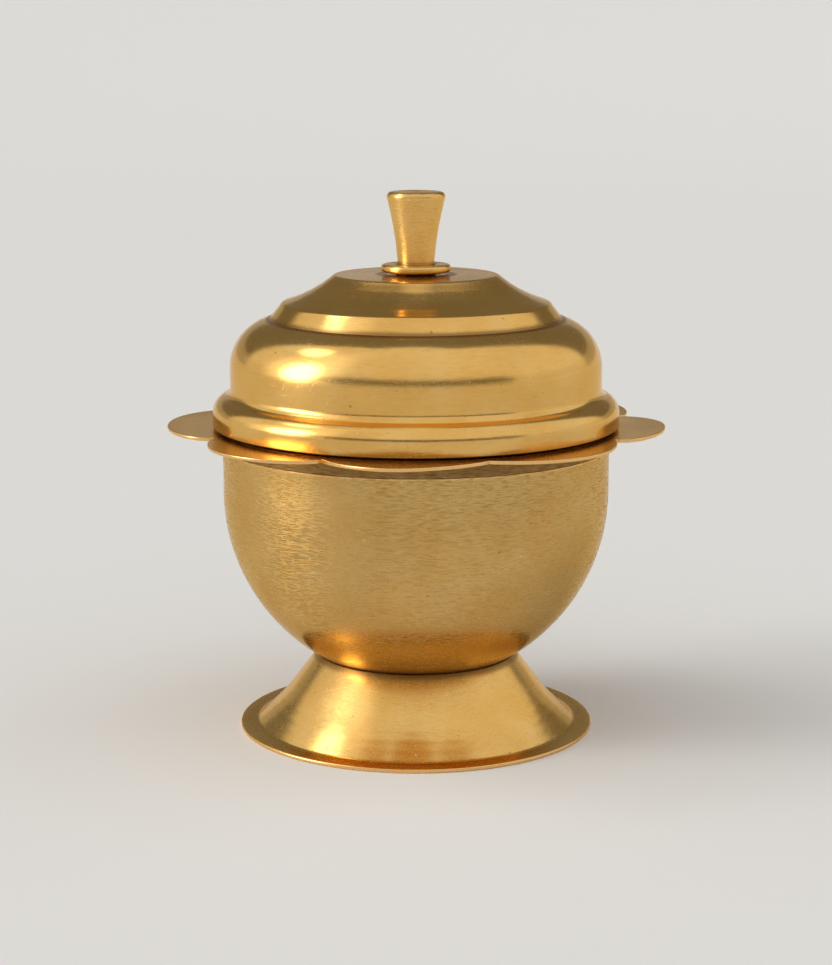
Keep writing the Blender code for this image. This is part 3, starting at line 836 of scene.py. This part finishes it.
class KUMKUM_OT_petal_ring(bpy.types.Operator):
    """Make the ring of petals, with the collar and spigot below it and the lip above it"""

    bl_idname = "kumkum.petal_ring"
    bl_label = "Petal ring"

    def execute(self, context):
        petals = context.scene.kumkum_petals
        bowl = context.scene.kumkum_bowl
        outer_radius = bowl.radius
        lip_inner = outer_radius - petals.lip_wall
        spigot_outer = outer_radius - bowl.sheet - SPIGOT_GAP
        spigot_inner = spigot_outer - petals.spigot_wall
        collar_low = bowl.edge_height + COLLAR_GAP
        root = petals.root_height
        underside = root - petals.thickness
        start = outer_radius + BEND_START
        rim_start = BLANK_RADIUS - RIM_WIDTH
        corners = [
            (lip_inner, petals.lip_height, 0.00025),
            (outer_radius, petals.lip_height, 0.00025),
            (outer_radius, root, 0.00018),
            (outer_radius + BLANK_ROOT, root, 0.0),
            (BLANK_RADIUS, root, 0.00013),
            (BLANK_RADIUS, underside, 0.00013),
            (outer_radius + BLANK_ROOT, underside, 0.0),
            (outer_radius, underside, 0.00022),
            (outer_radius, collar_low, 0.00005),
            (spigot_outer, collar_low, 0.00008),
            (spigot_outer, petals.spigot_low, 0.0001),
            (spigot_inner, petals.spigot_low, 0.0001),
            (spigot_inner, collar_low, 0.0003),
            (lip_inner, collar_low + lip_inner - spigot_inner, 0.0003),
        ]
        points = filled_in(rounded(corners, True), SHEET_SPACING, True)

        def shape(r, z, angle):
            """Cut the round blank back to the petals, and bend their tips up."""
            plate_side = underside - PLATE_MARGIN <= z <= root + PLATE_MARGIN
            if r <= start or not plate_side:
                return r, z
            edge, bend = petal_edge(angle, petals.notch_radius)
            if r > rim_start:
                out = edge - (BLANK_RADIUS - r)
            else:
                out = start + (r - start) * (edge - RIM_WIDTH - start) / (rim_start - start)
            rise = (out - start) / (BLANK_RADIUS - start)
            place = Vector((math.cos(angle) * 2.2, math.sin(angle) * 2.2, 7.0))
            uneven = noise.noise(place) * BEND_WOBBLE
            return out, z + (petals.tip_rise + bend + uneven) * rise * rise

        # Under the petals and on the collar the crease marks darken the metal as tarnish and as painted shade
        creases = [
            (outer_radius, root, 0.0006, 0.7),
            (outer_radius, underside, 0.0008, 0.9),
            (outer_radius, collar_low + COLLAR_SHADE_RISE, 0.0012, 1.0),
        ]
        worn_and_lit = [
            (BLANK_RADIUS, root, 0.0003, 1.0),
            (BLANK_RADIUS, underside, 0.0003, 1.0),
        ]
        piece = turned_piece("petal_ring", points, True, petal_angles(), creases, worn_and_lit, shape)
        metal = brass("petal_brass", context.scene.kumkum_brass.polished)
        finish_piece(piece, metal, "petal_flange", "box")
        piece.data.materials.append(bowl_metal("collar_brass"))
        for face in piece.data.polygons:
            if face.center.z < underside - COLLAR_DEPTH:
                face.material_index = 1
        return {"FINISHED"}


def lumpy(amount, seed):
    """A shape function that makes a run of solder uneven."""
    def shape(r, z, angle):
        place = Vector((math.cos(angle) * 5.0, math.sin(angle) * 5.0, seed + (r + z) * 900.0))
        swell = noise.noise(place) * amount
        return r + swell, z + swell * 0.6
    return shape


class KUMKUM_OT_solder(bpy.types.Operator):
    """Make the two runs of solder"""

    bl_idname = "kumkum.solder"
    bl_label = "Solder"

    def execute(self, context):
        metal = solder_metal("solder")
        foot = context.scene.kumkum_foot
        outer_radius = foot.neck_radius - foot.sheet * COVERED_SHARE
        inner_radius = outer_radius - FOOT_SOLDER_WIDTH
        low_radius = outer_radius + FOOT_SOLDER_SPREAD
        low_height = under_bowl(outer_radius) - FOOT_SOLDER_DROP
        tip_radius = outer_radius + SOLDER_TIP
        corners = [
            (tip_radius, under_bowl(tip_radius, SOLDER_GAP), 0.0),
            (low_radius, low_height + SOLDER_TIP, SOLDER_TIP),
            (low_radius - SOLDER_HOLLOW, low_height + SOLDER_RISE, SOLDER_HOLLOW),
            (inner_radius + SOLDER_HOLLOW, under_bowl(inner_radius) - SOLDER_EDGE, SOLDER_HOLLOW),
            (inner_radius, under_bowl(inner_radius, SOLDER_GAP), 0.0),
        ]
        points = filled_in(rounded(corners, True), SMALL_SPACING, True)
        run = turned_piece("foot_solder", points, True, even_turn(TURN_STEPS), [], [], lumpy(0.00006, 2.0))
        finish_piece(run, metal, "foot_solder_ring", "box")

        petals = context.scene.kumkum_petals
        bowl = context.scene.kumkum_bowl
        wall = bowl.radius - bowl.sheet
        top = petals.spigot_low
        corners = [
            (wall - RING_SOLDER_GAP, top - RING_SOLDER_GAP, 0.0),
            (wall - RING_SOLDER_GAP, top - RING_SOLDER_DEPTH, SOLDER_TIP),
            (wall - RING_HOLLOW_IN, top - RING_HOLLOW_DOWN, SOLDER_HOLLOW),
            (wall - RING_SOLDER_WIDTH, top - RING_SOLDER_GAP, SOLDER_TIP),
        ]
        points = filled_in(rounded(corners, True), SMALL_SPACING, True)
        run = turned_piece("ring_solder", points, True, even_turn(TURN_STEPS), [], [], lumpy(0.00003, 9.0))
        finish_piece(run, metal, "flange_solder_ring", "box")
        return {"FINISHED"}


class KUMKUM_OT_lid(bpy.types.Operator):
    """Make the stepped lid"""

    bl_idname = "kumkum.lid"
    bl_label = "Lid"

    def execute(self, context):
        lid = context.scene.kumkum_lid
        hole = context.scene.kumkum_knob.tang_radius + HOLE_GAP
        flank_radius = lid.shoulder_radius + (lid.crown_radius - lid.shoulder_radius) * FLANK_OUT_SHARE
        flank_height = lid.shoulder_height + (lid.crown_height - lid.shoulder_height) * FLANK_UP_SHARE
        corners = [
            (hole, lid.crown_height, 0.0),
            (lid.crown_radius, lid.crown_height, 0.0009),
            (flank_radius, flank_height, FLANK_ROUND),
            (lid.shoulder_radius, lid.shoulder_height, 0.0011),
            (lid.groove_radius, lid.groove_height, 0.00028),
            (lid.tier_radius, lid.tier_height, 0.0061),
            (lid.tier_radius, lid.crease_height, 0.0012),
            (lid.rim_radius, lid.bead_height, 0.0022),
            (lid.rim_radius, lid.rim_height, 0.0),
        ]
        points = sheet_loop(rounded(corners), lid.sheet, LID_EDGE_ROUND, LID_SPACING)
        creases = [
            (lid.groove_radius, lid.groove_height, 0.0006, 1.0),
            (lid.tier_radius, lid.crease_height, 0.0007, 0.35),
            (context.scene.kumkum_knob.disc_radius, lid.crown_height, 0.0009, 0.9),
            (0.0, lid.crown_height, 0.0035, 0.7),
            (lid.rim_radius, lid.rim_height, 0.0007, 0.6),
        ]
        worn_and_lit = [(lid.crown_radius, lid.crown_height, 0.0006, 0.35)]
        piece = turned_piece("lid_spun", points, True, even_turn(TURN_STEPS), creases, worn_and_lit)
        metal = brass("lid_brass", context.scene.kumkum_brass.polished)
        finish_piece(piece, metal, "lid_shell", "lid")
        return {"FINISHED"}


class KUMKUM_OT_knob(bpy.types.Operator):
    """Make the turned knob with its riveted tang, and the washer inside the lid"""

    bl_idname = "kumkum.knob"
    bl_label = "Knob"

    def execute(self, context):
        knob = context.scene.kumkum_knob
        crown = context.scene.kumkum_lid.crown_height
        disc_low = crown + DISC_GAP
        disc_top = KNOB_BOX[1].z - STEM_LENGTH
        waist_height = disc_top + WAIST_RISE
        rivet_top = WASHER_BOX[0].z - RIVET_GAP
        rivet_low = KNOB_BOX[0].z
        corners = [
            (0.0, knob.top_height, 0.0),
            (knob.top_radius, knob.top_height, 0.0006),
            (knob.waist_radius, waist_height, STEM_FLARE_ROUND),
            (knob.stem_radius, disc_top, 0.00022),
            (knob.disc_radius, disc_top, 0.00042),
            (knob.disc_radius, disc_top - knob.disc_thickness, 0.00042),
            (knob.stem_radius + SEAT_TOP_SPREAD, disc_top - knob.disc_thickness, 0.0001),
            (knob.stem_radius + SEAT_LOW_SPREAD, disc_low, 0.00005),
            (knob.tang_radius, disc_low, 0.0),
            (knob.tang_radius, rivet_top, 0.0),
            (knob.rivet_radius, rivet_top, 0.00015),
            (knob.rivet_radius, rivet_low, 0.0007),
            (0.0, rivet_low, 0.0),
        ]
        points = filled_in(rounded(corners), SMALL_SPACING, False)
        creases = [
            (knob.stem_radius, disc_top, 0.0005, 0.8),
            (knob.tang_radius, rivet_top, 0.0006, 0.9),
            (knob.stem_radius, disc_low, 0.0005, 1.0),
        ]
        worn_and_lit = [(knob.top_radius, knob.top_height, 0.0005, 0.3)]
        piece = turned_piece("knob_turned", points, False, even_turn(SMALL_TURN_STEPS), creases, worn_and_lit)
        colours = context.scene.kumkum_brass
        metal = brass("knob_brass", colours.polished, knob.top_radius)
        finish_piece(piece, metal, "knob", "lid")

        low, high = WASHER_BOX
        hole = knob.tang_radius + HOLE_GAP
        corners = [
            (hole, high.z, 0.0001),
            (high.x, high.z, 0.0002),
            (high.x, low.z, 0.0001),
            (hole, low.z, 0.0001),
        ]
        points = filled_in(rounded(corners, True), SMALL_SPACING, True)
        creases = [(hole, low.z, 0.0008, 0.9)]
        piece = turned_piece("rivet_washer", points, True, even_turn(SMALL_TURN_STEPS), creases, [])
        metal = brass("washer_brass", colours.satin, high.x)
        finish_piece(piece, metal, "knob_washer", "lid")
        return {"FINISHED"}


# The stage

# The floor's rings, how high it rises far off, and the distances where the rise starts and ends
FLOOR_REACHES = [0.0, 0.05, 0.1, 0.2, 0.4, 0.6, 0.8] + [1.0 + 0.08 * step for step in range(26)]
FLOOR_RISE = 0.15
FLOOR_FLAT = 0.9
FLOOR_FAR = 2.9

# The room before and behind the box: bearings and half widths in degrees
FRONT = 270.0
FRONT_HALF_WIDTH = 62.0
BACK = 90.0
BACK_HALF_WIDTH = 50.0

# Edges in the room, as the sine of their angle above the floor: the ceiling's and how much higher it starts
# before the box, the low wall's and how much lower it ends there, and the top of the dark part behind
CEILING_EDGE = 0.15
CEILING_LIFT = 0.18
WALL_EDGE = 0.21
WALL_DROP = 0.105
DARK_EDGE = 0.972

# How much dimmer the low wall is behind the box
BACK_DIM_SHARE = 0.40

# The window's bright parts, soft leaning ovals: the bearing of the middle in degrees and the sine of its
# angle above the floor, how narrow the oval is and how it leans, how flat it is and how it droops, its share
# of the window's strength, and the softness of its edge
WINDOW_PARTS = (
    (192.5, 0.30, 3.7, 1.2, 3.5, -2.1, 0.90, 0.45),
    (192.5, 0.32, 2.0, 0.6, 1.9, -1.1, 0.12, 0.95),
    (168.0, 0.785, 4.6, 0.0, 13.5, 0.0, 0.54, 0.85),
)

# The camera: degrees that it looks down, its distance from the point it looks at, and that point's height
CAMERA_PITCH = 10.88
CAMERA_DISTANCE = 0.292
TARGET_HEIGHT = 0.0308


def smooth_step(value, low, high):
    """Zero up to low, one from high on, and smooth between."""
    along = max(0.0, min(1.0, (value - low) / (high - low)))
    return along * along * (3.0 - 2.0 * along)


class KUMKUM_OT_stage(bpy.types.Operator):
    """Make the pale floor that rises far off, the soft light and the camera"""

    bl_idname = "kumkum.stage"
    bl_label = "Stage"

    def execute(self, context):
        stage = context.scene.kumkum_stage
        self.make_floor(context, stage)
        self.make_room(context, stage)
        self.make_camera(context, stage)
        context.scene.view_settings.view_transform = "Standard"
        return {"FINISHED"}

    def make_floor(self, context, stage):
        work = bmesh.new()
        rings = []
        for reach in FLOOR_REACHES:
            rise = FLOOR_RISE * smooth_step(reach, FLOOR_FLAT, FLOOR_FAR)
            ring = []
            for step in range(1 if reach == 0 else FLOOR_STEPS):
                angle = math.tau * step / FLOOR_STEPS
                ring.append(work.verts.new((reach * math.cos(angle), reach * math.sin(angle), rise)))
            rings.append(ring)
        for inner, outer in zip(rings, rings[1:]):
            for step in range(FLOOR_STEPS):
                following = (step + 1) % FLOOR_STEPS
                corners = [inner[step % len(inner)], outer[step], outer[following]]
                if len(inner) > 1:
                    corners.append(inner[following])
                work.faces.new(corners).smooth = True
        mesh = bpy.data.meshes.new("floor")
        work.to_mesh(mesh)
        work.free()
        floor = bpy.data.objects.new("floor", mesh)
        context.scene.collection.objects.link(floor)
        material = bpy.data.materials.new("floor_paper")
        material.use_nodes = True
        shader = material.node_tree.nodes["Principled BSDF"]
        shader.inputs["Base Color"].default_value = opaque(stage.floor)
        shader.inputs["Roughness"].default_value = 0.9
        shader.inputs["Specular IOR Level"].default_value = 0.15
        mesh.materials.append(material)

    def make_room(self, context, stage):
        """A pale room as the light: bright above and at the sides, dimmer behind, a window on the left."""
        world = bpy.data.worlds.new("room")
        world.use_nodes = True
        tree = world.node_tree

        def add(kind, inputs, **settings):
            node = tree.nodes.new(kind)
            for key, value in settings.items():
                setattr(node, key, value)
            for key, value in inputs.items():
                if isinstance(value, bpy.types.NodeSocket):
                    tree.links.new(value, node.inputs[key])
                else:
                    node.inputs[key].default_value = value
            return node

        def edge(value, middle, softness):
            """Zero below an edge and one above it."""
            inputs = {"Value": value, "From Min": middle - softness, "From Max": middle + softness}
            return add("ShaderNodeMapRange", inputs, interpolation_type="SMOOTHSTEP").outputs["Result"]

        def maths(operation, first, second, third=0.0):
            return add("ShaderNodeMath", {0: first, 1: second, 2: third}, operation=operation).outputs[0]

        towards = add("ShaderNodeTexCoord", {}).outputs["Generated"]
        upward = add("ShaderNodeSeparateXYZ", {0: towards}).outputs[2]
        flat = add("ShaderNodeVectorMath", {0: towards, 1: (1.0, 1.0, 0.0)}, operation="MULTIPLY").outputs[0]
        flat = add("ShaderNodeVectorMath", {0: flat}, operation="NORMALIZE").outputs[0]

        def facing(degrees, half_width, softness):
            """One in the directions round a bearing."""
            towards_it = (math.cos(math.radians(degrees)), math.sin(math.radians(degrees)), 0.0)
            along = add("ShaderNodeVectorMath", {0: flat, 1: towards_it}, operation="DOT_PRODUCT")
            return edge(along.outputs["Value"], math.cos(math.radians(half_width)), softness)

        front = facing(FRONT, FRONT_HALF_WIDTH, 0.12)
        ceiling = edge(maths("MULTIPLY_ADD", front, -CEILING_LIFT, upward), CEILING_EDGE, 0.03)
        above_wall = edge(maths("MULTIPLY_ADD", front, WALL_DROP, upward), WALL_EDGE, 0.015)
        wall = maths("SUBTRACT", 1.0, above_wall)
        back = facing(BACK, BACK_HALF_WIDTH, 0.05)
        behind = maths("MULTIPLY", back, maths("SUBTRACT", 1.0, edge(upward, DARK_EDGE, 0.012)))
        low = stage.low_strength
        strength = maths("MULTIPLY_ADD", ceiling, stage.room_strength - low, low)
        darker = maths("MULTIPLY", behind, maths("SUBTRACT", strength, low))
        strength = maths("SUBTRACT", strength, darker)
        pale = maths("MULTIPLY_ADD", back, -BACK_DIM_SHARE * stage.wall_strength, stage.wall_strength)
        strength = maths("MULTIPLY_ADD", wall, maths("SUBTRACT", pale, strength), strength)

        # The window, with bearings taken from the opposite side, so that none of it lies where they jump
        opposite = add("ShaderNodeVectorMath", {0: towards, "Scale": -1.0}, operation="SCALE")
        opposite = add("ShaderNodeSeparateXYZ", {0: opposite.outputs["Vector"]})
        bearing = maths("ARCTAN2", opposite.outputs[1], opposite.outputs[0])
        for middle, height, narrow, lean, flatness, droop, amount, softness in WINDOW_PARTS:
            aside = maths("SUBTRACT", bearing, math.radians(middle - 180.0))
            above = maths("SUBTRACT", upward, height)
            across = maths("MULTIPLY_ADD", aside, narrow, maths("MULTIPLY", above, lean))
            along = maths("MULTIPLY_ADD", above, flatness, maths("MULTIPLY", aside, droop))
            outward = maths("MULTIPLY_ADD", across, across, maths("MULTIPLY", along, along))
            part = maths("SUBTRACT", amount, maths("MULTIPLY", edge(outward, 1.0, softness), amount))
            strength = maths("MULTIPLY_ADD", part, stage.window_strength, strength)

        # Seen straight, past the floor's far edge, the room is one plain pale tone
        seen = add("ShaderNodeLightPath", {}).outputs["Is Camera Ray"]
        strength = maths("MULTIPLY_ADD", seen, maths("SUBTRACT", stage.backdrop_strength, strength), strength)
        background = tree.nodes["Background"]
        background.inputs["Color"].default_value = opaque(stage.room)
        tree.links.new(strength, background.inputs["Strength"])
        context.scene.world = world

    def make_camera(self, context, stage):
        lens = bpy.data.cameras.new("camera")
        lens.lens = stage.camera_lens
        lens.sensor_width = 36.0
        lens.clip_start = 0.01
        lens.clip_end = 20.0
        camera = bpy.data.objects.new("camera", lens)
        target = Vector((0.0, 0.0, TARGET_HEIGHT))
        pitch = math.radians(CAMERA_PITCH)
        back = Vector((0.0, -math.cos(pitch), math.sin(pitch)))
        camera.location = target + back * CAMERA_DISTANCE
        camera.rotation_euler = back.to_track_quat("Z", "Y").to_euler()
        context.scene.collection.objects.link(camera)
        context.scene.camera = camera


class KUMKUM_PT_box(bpy.types.Panel):
    """Sizes, colours and pieces of the kumkum box"""

    bl_idname = "KUMKUM_PT_box"
    bl_label = "Kumkum box"
    bl_space_type = "VIEW_3D"
    bl_region_type = "UI"
    bl_category = "Kumkum box"

    def draw(self, context):
        layout = self.layout
        for name, holder, operator in PANEL_ROWS:
            box = layout.box()
            box.label(text=name)
            group = getattr(context.scene, holder)
            for prop in group.bl_rna.properties:
                if prop.identifier not in ("rna_type", "name"):
                    box.prop(group, prop.identifier)
            if operator:
                box.operator(operator.bl_idname)


PANEL_ROWS = (
    ("Foot", "kumkum_foot", KUMKUM_OT_foot),
    ("Bowl", "kumkum_bowl", KUMKUM_OT_bowl),
    ("Petal ring", "kumkum_petals", KUMKUM_OT_petal_ring),
    ("Lid", "kumkum_lid", KUMKUM_OT_lid),
    ("Knob", "kumkum_knob", KUMKUM_OT_knob),
    ("Metal", "kumkum_brass", KUMKUM_OT_solder),
    ("Stage", "kumkum_stage", KUMKUM_OT_stage),
)

GROUPS = (
    ("kumkum_foot", FootSizes),
    ("kumkum_bowl", BowlSizes),
    ("kumkum_petals", PetalSizes),
    ("kumkum_lid", LidSizes),
    ("kumkum_knob", KnobSizes),
    ("kumkum_brass", BrassColours),
    ("kumkum_stage", StageSettings),
)

OPERATORS = (
    KUMKUM_OT_foot,
    KUMKUM_OT_bowl,
    KUMKUM_OT_petal_ring,
    KUMKUM_OT_solder,
    KUMKUM_OT_lid,
    KUMKUM_OT_knob,
    KUMKUM_OT_stage,
)


def register():
    """Add the property groups, the operators and the panel."""
    for name, group in GROUPS:
        bpy.utils.register_class(group)
        setattr(bpy.types.Scene, name, PointerProperty(type=group))
    for operator in OPERATORS:
        bpy.utils.register_class(operator)
    bpy.utils.register_class(KUMKUM_PT_box)


def unregister():
    """Take them away again."""
    bpy.utils.unregister_class(KUMKUM_PT_box)
    for operator in reversed(OPERATORS):
        bpy.utils.unregister_class(operator)
    for name, group in reversed(GROUPS):
        delattr(bpy.types.Scene, name)
        bpy.utils.unregister_class(group)


def main():
    """Make every piece and the stage."""
    register()
    bpy.ops.kumkum.foot()
    bpy.ops.kumkum.bowl()
    bpy.ops.kumkum.petal_ring()
    bpy.ops.kumkum.solder()
    bpy.ops.kumkum.lid()
    bpy.ops.kumkum.knob()
    bpy.ops.kumkum.stage()


if __name__ == "__main__":
    main()
